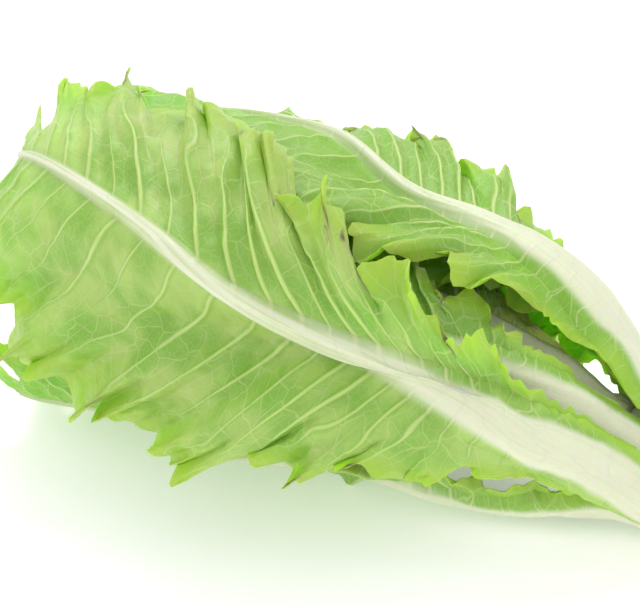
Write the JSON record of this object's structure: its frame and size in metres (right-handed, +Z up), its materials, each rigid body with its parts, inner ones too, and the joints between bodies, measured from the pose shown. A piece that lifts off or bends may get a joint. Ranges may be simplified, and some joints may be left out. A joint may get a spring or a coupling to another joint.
{
  "type": "lettuce",
  "caption": "Head of loose-leaf lettuce lying on its side, with broad white ribs, frilled green blades and a cut butt.",
  "frame": {"origin": "bottom centre of the box, on the resting plane", "axes": "+X along the head's axis towards the cut butt, with the leaf tips at -X; -Y is the side of the outermost leaf; +Z up"},
  "size_m": [0.303, 0.2462, 0.1419],
  "materials": {
    "rib": "smooth, moist white to pale green",
    "blade": "waxy blistered leaf, slightly translucent",
    "stem": "smooth, moist cream white, matte on the cut",
    "heart": "waxy young leaf, pale yellow-green"
  },
  "bodies": {
    "root": {"leaf_01_rib": "rib", "leaf_01_blade": "blade", "leaf_02_rib": "rib", "leaf_02_blade": "blade", "leaf_03_rib": "rib", "leaf_03_blade": "blade", "leaf_04_rib": "rib", "leaf_04_blade": "blade", "leaf_05_rib": "rib", "leaf_05_blade": "blade", "leaf_06_rib": "rib", "leaf_06_blade": "blade", "leaf_07_rib": "rib", "leaf_07_blade": "blade", "leaf_08_rib": "rib", "leaf_08_blade": "blade", "leaf_09_rib": "rib", "leaf_09_blade": "blade", "leaf_10_rib": "rib", "leaf_10_blade": "blade", "stem": "stem", "heart": "heart"}
  },
  "joints": []
}
